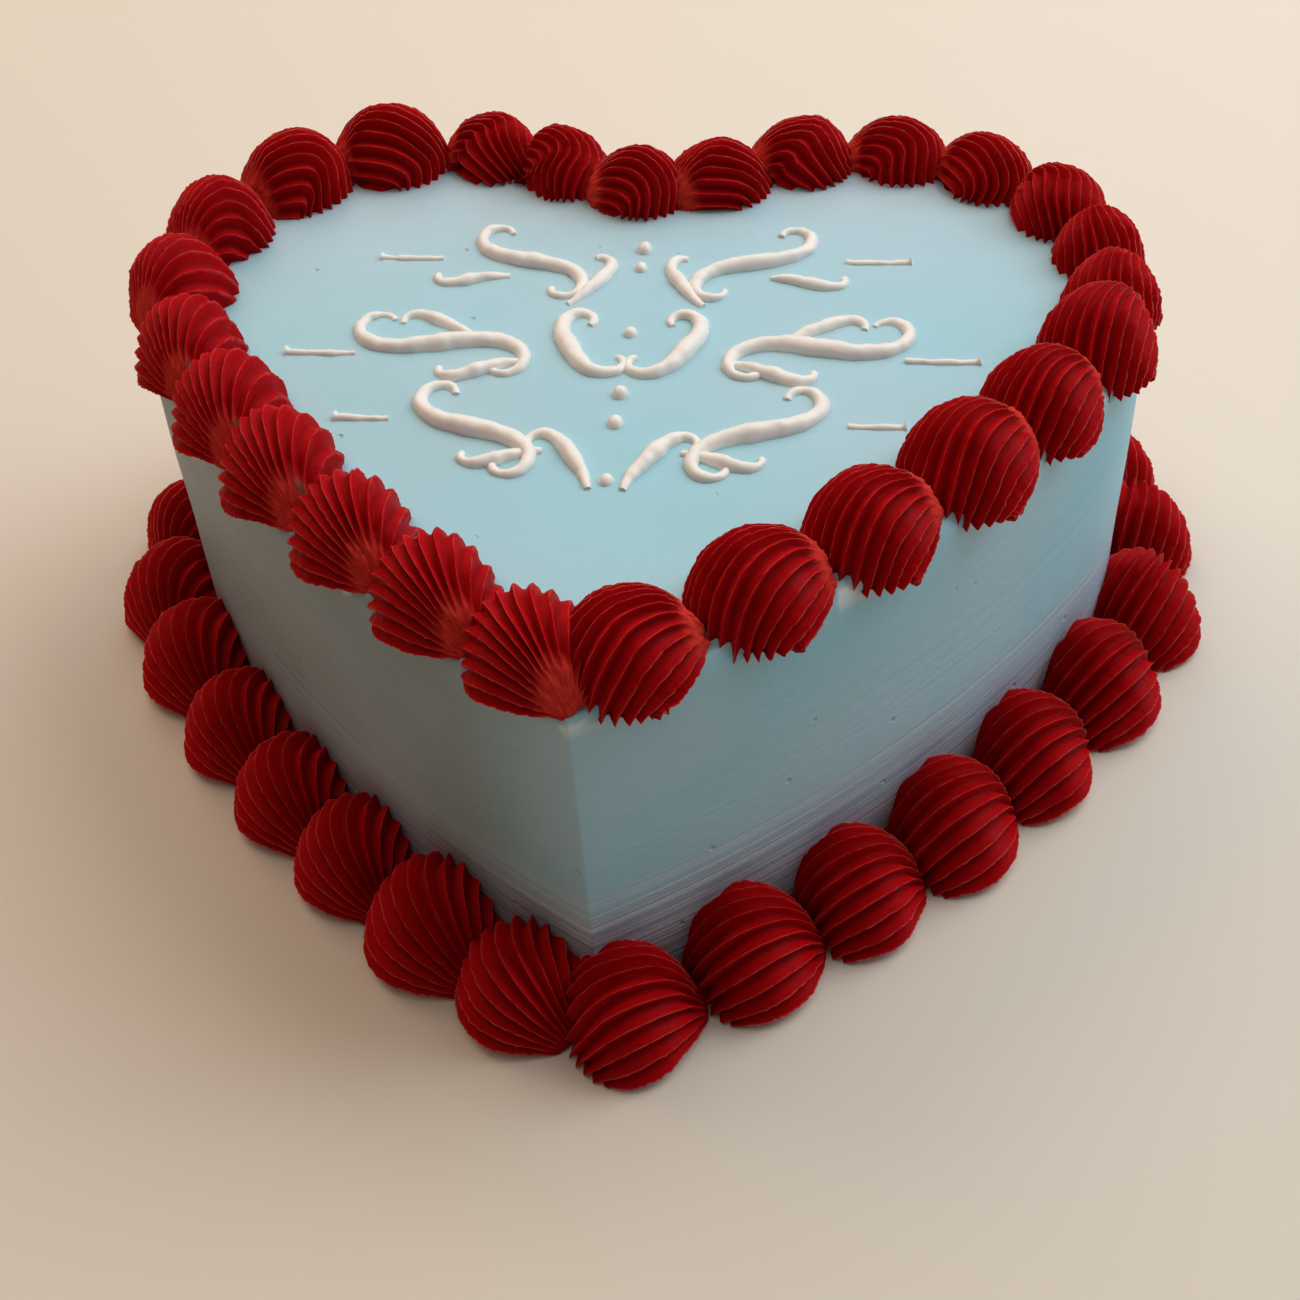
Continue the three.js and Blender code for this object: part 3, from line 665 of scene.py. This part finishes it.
rise = add(star, "ShaderNodeMath", {0: given["Height"], 1: given["Sink"]}, operation="ADD")
z = add(star, "ShaderNodeMath", {0: fall, 1: steeper}, operation="POWER")
z = add(star, "ShaderNodeMath", {0: z, 1: rise}, operation="MULTIPLY")
curl = add(star, "ShaderNodeMath", {0: under, 1: math.pi}, operation="MULTIPLY")
curl = add(star, "ShaderNodeMath", {0: curl}, operation="SINE")
curl = add(star, "ShaderNodeMath", {0: curl, 1: given["Undercut"]}, operation="MULTIPLY")
z = add(star, "ShaderNodeMath", {0: z, 1: curl}, operation="SUBTRACT")
closing = add(star, "ShaderNodeMath", {0: under, 1: math.pi / 2}, operation="MULTIPLY")
closing = add(star, "ShaderNodeMath", {0: closing}, operation="COSINE")
x = add(star, "ShaderNodeMath", {0: x, 1: closing}, operation="MULTIPLY")
y = add(star, "ShaderNodeMath", {0: y, 1: closing}, operation="MULTIPLY")
dome_place = add(star, "ShaderNodeCombineXYZ", {0: x, 1: y, 2: z})
sunk = add(star, "ShaderNodeMath", {0: covered, 1: -strip_sink, 2: 1}, operation="MULTIPLY_ADD")
sunk = add(star, "ShaderNodeMath", {0: sunk, 1: given["Size"]}, operation="MULTIPLY")
dome_place = add(star, "ShaderNodeVectorMath", {0: dome_place, "Scale": sunk}, operation="SCALE")

# The grooves are deepest at the foot, fade out under the smear at the tail, and no two are quite alike. A
# dab is a small dull spot that the nozzle's tip left.
uneven = add(star, "ShaderNodeTexNoise", {
    "Vector": round_place, "W": given["Seed"], "Scale": groove_change, "Detail": 1,
}, noise_dimensions="4D")
uneven = add(star, "ShaderNodeMapRange", {0: uneven, 1: 0.25, 2: 0.75, 3: 0.75, 4: 1.15})
deepen = add(star, "ShaderNodeMapRange", {0: share, 1: 0.2, 2: 0.95, 3: 0.75, 4: given["Head Cut"]})
uncovered = add(star, "ShaderNodeMath", {0: 1, 1: covered}, operation="SUBTRACT")
deepen = add(star, "ShaderNodeMath", {0: deepen, 1: uncovered}, operation="MULTIPLY")
flat_x = add(star, "ShaderNodeSeparateXYZ", {0: flat}).outputs["X"]
start_of = add(star, "ShaderNodeMapRange", {
    0: flat_x, 1: groove_full, 2: groove_start, 3: 1, 4: 0,
}, interpolation_type="SMOOTHSTEP")
deepen = add(star, "ShaderNodeMath", {0: deepen, 1: start_of}, operation="MULTIPLY")
smear_y = add(star, "ShaderNodeSeparateXYZ", {0: given["Pole"]}).outputs["Y"]
smear_centre = add(star, "ShaderNodeCombineXYZ", {0: smear_back, 1: smear_y})
smear_radii = add(star, "ShaderNodeCombineXYZ", {0: smear_length, 1: given["Smear Width"], 2: 1})
from_smear = add(star, "ShaderNodeVectorMath", {0: flat, 1: smear_centre}, operation="SUBTRACT")
from_smear = add(star, "ShaderNodeVectorMath", {0: from_smear, 1: smear_radii}, operation="DIVIDE")
from_smear = add(star, "ShaderNodeVectorMath", {0: from_smear}, operation="LENGTH").outputs["Value"]
frayed = add(star, "ShaderNodeTexNoise", {
    "Vector": round_place, "W": given["Seed"], "Scale": smear_fray, "Detail": 2,
}, noise_dimensions="4D")
frayed = add(star, "ShaderNodeMath", {0: frayed, 1: 0.5}, operation="SUBTRACT")
from_smear = add(star, "ShaderNodeMath", {0: frayed, 1: fray_reach, 2: from_smear}, operation="MULTIPLY_ADD")
smeared = add(star, "ShaderNodeMapRange", {
    0: from_smear, 1: 0.5, 2: 1.15, 3: given["Smear"], 4: 0,
}, interpolation_type="SMOOTHSTEP")
clean = add(star, "ShaderNodeMath", {0: 1, 1: smeared}, operation="SUBTRACT")
cut = add(star, "ShaderNodeMath", {0: hollow, 1: given["Rib Depth"]}, operation="MULTIPLY")
for part in (uneven, deepen, clean, closing):
    cut = add(star, "ShaderNodeMath", {0: cut, 1: part}, operation="MULTIPLY")
from_dab = add(star, "ShaderNodeVectorMath", {0: flat, 1: dab_centre}, operation="SUBTRACT")
from_dab = add(star, "ShaderNodeVectorMath", {0: from_dab, 1: dab_radii}, operation="DIVIDE")
from_dab = add(star, "ShaderNodeVectorMath", {0: from_dab}, operation="LENGTH").outputs["Value"]
dabbed = add(star, "ShaderNodeMapRange", {0: from_dab, 1: 0.8, 2: 1.15, 3: given["Dab"], 4: 0})
dome = grid
for name, value in (("groove", hollow), ("smear", smeared), ("cut", cut), ("dab", dabbed)):
    dome = add(star, "GeometryNodeStoreNamedAttribute", {"Geometry": dome, "Name": name, "Value": value})
dome = add(star, "GeometryNodeSetPosition", {"Geometry": dome, "Position": dome_place})
dome = add(star, "GeometryNodeMergeByDistance", {"Geometry": dome, "Distance": 0.001 * mm})
dome = add(star, "GeometryNodeFlipFaces", {"Mesh": dome})

# The relief, along the dome's own normals: the grooves, broad lumps in the cream, ragged crests and the torn
# skin of the smear. Nothing goes below the foot.
stored_cut, stored_groove, stored_smear = (
    add(star, "GeometryNodeInputNamedAttribute", {"Name": name}, data_type="FLOAT").outputs[0]
    for name in ("cut", "groove", "smear")
)
spot = add(star, "GeometryNodeInputPosition")
broad = add(star, "ShaderNodeTexNoise", {
    "Vector": spot, "W": given["Seed"], "Scale": 1 / lump_size, "Detail": 1,
}, noise_dimensions="4D")
broad = add(star, "ShaderNodeMapRange", {0: broad, 1: 0.2, 2: 0.8, 3: -0.9 * mm, 4: 0.5 * mm})
ragged = add(star, "ShaderNodeTexNoise", {
    "Vector": spot, "W": given["Seed"], "Scale": 1 / rag_size, "Detail": 2,
}, noise_dimensions="4D")
ragged = add(star, "ShaderNodeMapRange", {0: ragged, 1: 0.3, 2: 0.7, 3: -0.36 * mm, 4: 0.16 * mm})
crest = add(star, "ShaderNodeMath", {0: 1, 1: stored_groove}, operation="SUBTRACT")
crest = add(star, "ShaderNodeMath", {0: crest, 1: 3}, operation="POWER")
relief = add(star, "ShaderNodeMath", {0: ragged, 1: crest, 2: broad}, operation="MULTIPLY_ADD")
relief = add(star, "ShaderNodeMath", {0: relief, 1: stored_cut}, operation="SUBTRACT")
pulled = add(star, "ShaderNodeTexNoise", {
    "Vector": spot, "W": given["Seed"], "Scale": 1 / pull_size, "Detail": 3, "Roughness": 0.65,
}, noise_dimensions="4D")
pulled = add(star, "ShaderNodeMapRange", {0: pulled, 1: 0.3, 2: 0.7, 3: -0.8 * mm, 4: 0.5 * mm})
relief = add(star, "ShaderNodeMath", {0: pulled, 1: stored_smear, 2: relief}, operation="MULTIPLY_ADD")
way = add(star, "GeometryNodeInputNormal")
offset = add(star, "ShaderNodeVectorMath", {0: way, "Scale": relief}, operation="SCALE")
ribbed = add(star, "GeometryNodeSetPosition", {"Geometry": dome, "Offset": offset})
spot = add(star, "GeometryNodeInputPosition")
spot = add(star, "ShaderNodeSeparateXYZ", {0: spot})
lowest = add(star, "ShaderNodeMath", {0: given["Undercut"], 1: -1}, operation="MULTIPLY")
lowest = add(star, "ShaderNodeMath", {0: spot.outputs["Z"], 1: lowest}, operation="MAXIMUM")
kept_up = add(star, "ShaderNodeCombineXYZ", {0: spot.outputs["X"], 1: spot.outputs["Y"], 2: lowest})
ribbed = add(star, "GeometryNodeSetPosition", {"Geometry": ribbed, "Position": kept_up})

# Each shell is turned and put in its place, with its crests left crisp.
spin = add(star, "ShaderNodeCombineXYZ", {2: given["Heading"]})
placed = add(star, "GeometryNodeTransform", {
    "Geometry": ribbed, "Translation": given["Place"], "Rotation": spin,
})
soft = add(star, "GeometryNodeSetShadeSmooth", {"Geometry": placed})
on_crest = add(star, "ShaderNodeMath", {0: stored_groove, 1: 0.01}, operation="LESS_THAN")
crisp = add(star, "GeometryNodeSetShadeSmooth", {
    "Geometry": soft, "Selection": on_crest, "Shade Smooth": False,
}, domain="EDGE")
whole = add(star, "GeometryNodeRealizeInstances", {"Geometry": crisp})
coated = add(star, "GeometryNodeSetMaterial", {"Geometry": whole, "Material": given["Cream"]})
add(star, "NodeGroupOutput", {"Shell": coated})


# The two borders. Each is a row of red shells piped one after the other, anticlockwise from the tip, and
# each head covers the tail before it. The upper row overhangs the wall a little. Its back shells are arched,
# with the ridges nested round a point towards the cake's middle, and its left ones are fanned.
def wander(index, purpose):
    """A steady number from -1 to 1 for one shell and one purpose, the same as in the solids."""
    mixed = math.sin(index * 12.9898 + purpose * 78.233) * 43758.5453
    return 2 * (mixed - math.floor(mixed)) - 1


wander_along = 0.7 * mm
wander_turn = 4
wander_size = 0.04
least_buckle = 0.03
seed_step = 1.7
arched = {"Pole": (0.76, 0.36, 0), "Lean": -0.6}
fanned = {
    "Ribs": 18, "Head Cut": 1.05, "Petals": 0.95, "Pole": (0.78, -0.26, 0), "Slit": 0.14, "Gather": 0.66,
    "Skew": 0.05, "Lean": -0.7, "Smear Width": 0.34,
}
borders = [
    {
        "name": "top_shell", "line_out": -8.5, "first_at": 10.3, "rest": 88, "tail_out": 9, "seed": 10,
        "runs": [
            (4, 28.3, 1, 1), (2, 25.2, 0.96, 1), (3, 19, 0.86, 0.9),
            (4, 22.8, 0.9, 0.84), (3, 20.7, 0.88, 0.95), (10, 25.75, 1, 1),
        ],
        "sizes": {
            "Height": 16.5, "Sink": 3.5, "Width": 27, "Head": 14, "Tail": 19, "Undercut": 0.8,
            "Rib Depth": 2.3,
        },
        "manner": {
            "Ribs": 17, "Tail Drop": 0.5, "Head Cut": 1.15, "Petals": 0.35, "Pole": (0.74, -0.05, 0),
            "Slit": 0.26, "Gather": 0.5, "Skew": 0.0, "Drift": 0.3, "Smear": 1.0, "Smear Width": 0.5,
        },
        "leans": (0.3, -0.3),
        "arched": range(8, 19),
        "fanned": range(19, 26),
        "buckled": {
            6: 0.1, 7: 0.15, 8: 0.35, 9: 0.3, 10: 0.2, 11: 0.25, 12: 0.35, 13: 0.2, 14: 0.4, 15: 0.4,
            16: 0.45, 17: 0.3,
        },
        "dabbed": (20, 21, 22),
    },
    {
        "name": "foot_shell", "line_out": 8.5, "first_at": 8.7, "rest": 0, "tail_out": 8, "seed": 70,
        "runs": [(8, 28.4, 1, 1), (13, 24.8, 0.96, 1), (7, 26.3, 1, 1)],
        "sizes": {
            "Height": 23.5, "Sink": 0, "Width": 33, "Head": 15, "Tail": 17.5, "Undercut": 0,
            "Rib Depth": 3,
        },
        "manner": {
            "Ribs": 15, "Tail Drop": 0.5, "Head Cut": 1.3, "Petals": 0.45, "Pole": (0.88, -0.05, 0),
            "Slit": 0.4, "Gather": 0.4, "Skew": 0.0, "Drift": 0.2, "Smear": 0.0, "Smear Width": 0.5,
        },
        "leans": (-0.3, -0.9),
        "arched": (),
        "fanned": (),
        "buckled": {},
        "dabbed": (),
    },
]
for border in borders:
    travel = border["first_at"]
    shells = []
    for count, gap, size, rise in border["runs"]:
        for _ in range(count):
            travel += gap if shells else 0
            shells.append((travel, size, rise))
    for i, (travel, size, rise) in enumerate(shells):
        name = f"{border['name']}_{i + 1:02d}"
        point, onward = heart_at(border["line_out"] * mm, travel * mm + wander_along * wander(i, 1))
        outward = math.radians(border["tail_out"] + wander_turn * wander(i, 2))
        size *= 1 + wander_size * wander(i, 3)
        second_half = i * 2 > len(shells)
        manner = dict(border["manner"], Lean=border["leans"][second_half])
        if i in border["arched"]:
            manner.update(arched)
        if i in border["fanned"]:
            manner.update(fanned)
        for key, length in border["sizes"].items():
            manner[key] = length * mm
        manner["Height"] = border["sizes"]["Height"] * rise * mm
        manner["Size"] = size
        manner["Buckle"] = border["buckled"].get(i, least_buckle)
        manner["Dab"] = float(i in border["dabbed"])
        manner["Seed"] = border["seed"] + seed_step * i
        manner["Heading"] = math.atan2(onward.y, onward.x) - outward
        manner["Place"] = (point.x, point.y, (border["rest"] - border["sizes"]["Sink"] * size) * mm)
        manner["Cream"] = red_cream
        carrier = bpy.data.objects.new("nozzle place", bpy.data.meshes.new("nozzle place"))
        bpy.context.scene.collection.objects.link(carrier)
        piping = carrier.modifiers.new("piped shell", "NODES")
        piping.node_group = star
        for key, value in manner.items():
            piping[shell_inputs[key]] = value
        evaluated = carrier.evaluated_get(bpy.context.evaluated_depsgraph_get())
        shell_mesh = bpy.data.meshes.new_from_object(evaluated)
        bpy.data.objects.remove(carrier)
        shell = bpy.data.objects.new("piped_" + name, shell_mesh)
        bpy.context.scene.collection.objects.link(shell)
        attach(shell, "root")
        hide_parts(name)


# The floor: a plain pale surface, warm like the light that it throws back on the wall.
floor_half = 4
floor_corners = [(x * floor_half, y * floor_half, 0) for x, y in ((-1, -1), (1, -1), (1, 1), (-1, 1))]
floor_mesh = bpy.data.meshes.new("floor")
floor_mesh.from_pydata(floor_corners, [], [(0, 1, 2, 3)])
floor = bpy.data.objects.new("floor", floor_mesh)
bpy.context.scene.collection.objects.link(floor)
pale = bpy.data.materials.new("pale floor")
pale.use_nodes = True
pale_shader = pale.node_tree.nodes["Principled BSDF"]
pale_shader.inputs["Base Color"].default_value = linear("#E4D9CA")
pale_shader.inputs["Roughness"].default_value = 0.7
floor_mesh.materials.append(pale)

# The light: a large soft window high up behind and to the right, a cooler one straight behind, a pale wall on
# the right, a ceiling over the front, and a warm room at the back left with a faint low glow on the left.
target = tip + Vector((0, cake_length / 2, 50 * mm))
for name, azimuth, elevation, distance, size, power, colour in (
    ("window", 126, 50, 1.5, 1.1, 12.5, "#FFFCF8"),
    ("back window", 178, 40, 1.5, 1.1, 5.2, "#DCEBFF"),
    ("ceiling", -10, 72, 1.5, 1.3, 4.2, "#FFF6EE"),
    ("right wall", 108, 24, 1.6, 1.2, 8.3, "#CFEEFF"),
    ("warm room", -136, 46, 1.5, 1.1, 8.2, "#FFDDB8"),
    ("lit wall", -76, 16, 1.5, 1.1, 1.2, "#FF9058"),
):
    lamp = bpy.data.lights.new(name, "AREA")
    lamp.shape = "SQUARE"
    lamp.size = size
    lamp.energy = power
    lamp.color = linear(colour)[:3]
    lamp_object = bpy.data.objects.new(name, lamp)
    a, e = math.radians(azimuth), math.radians(elevation)
    way = Vector((math.sin(a) * math.cos(e), -math.cos(a) * math.cos(e), math.sin(e)))
    lamp_object.location = target + way * distance
    lamp_object.rotation_euler = way.to_track_quat("Z", "Y").to_euler()
    bpy.context.scene.collection.objects.link(lamp_object)
world = bpy.data.worlds.new("room")
world.use_nodes = True
background = world.node_tree.nodes["Background"]
background.inputs["Color"].default_value = linear("#EDE0D2")
background.inputs["Strength"].default_value = 0.07
bpy.context.scene.world = world
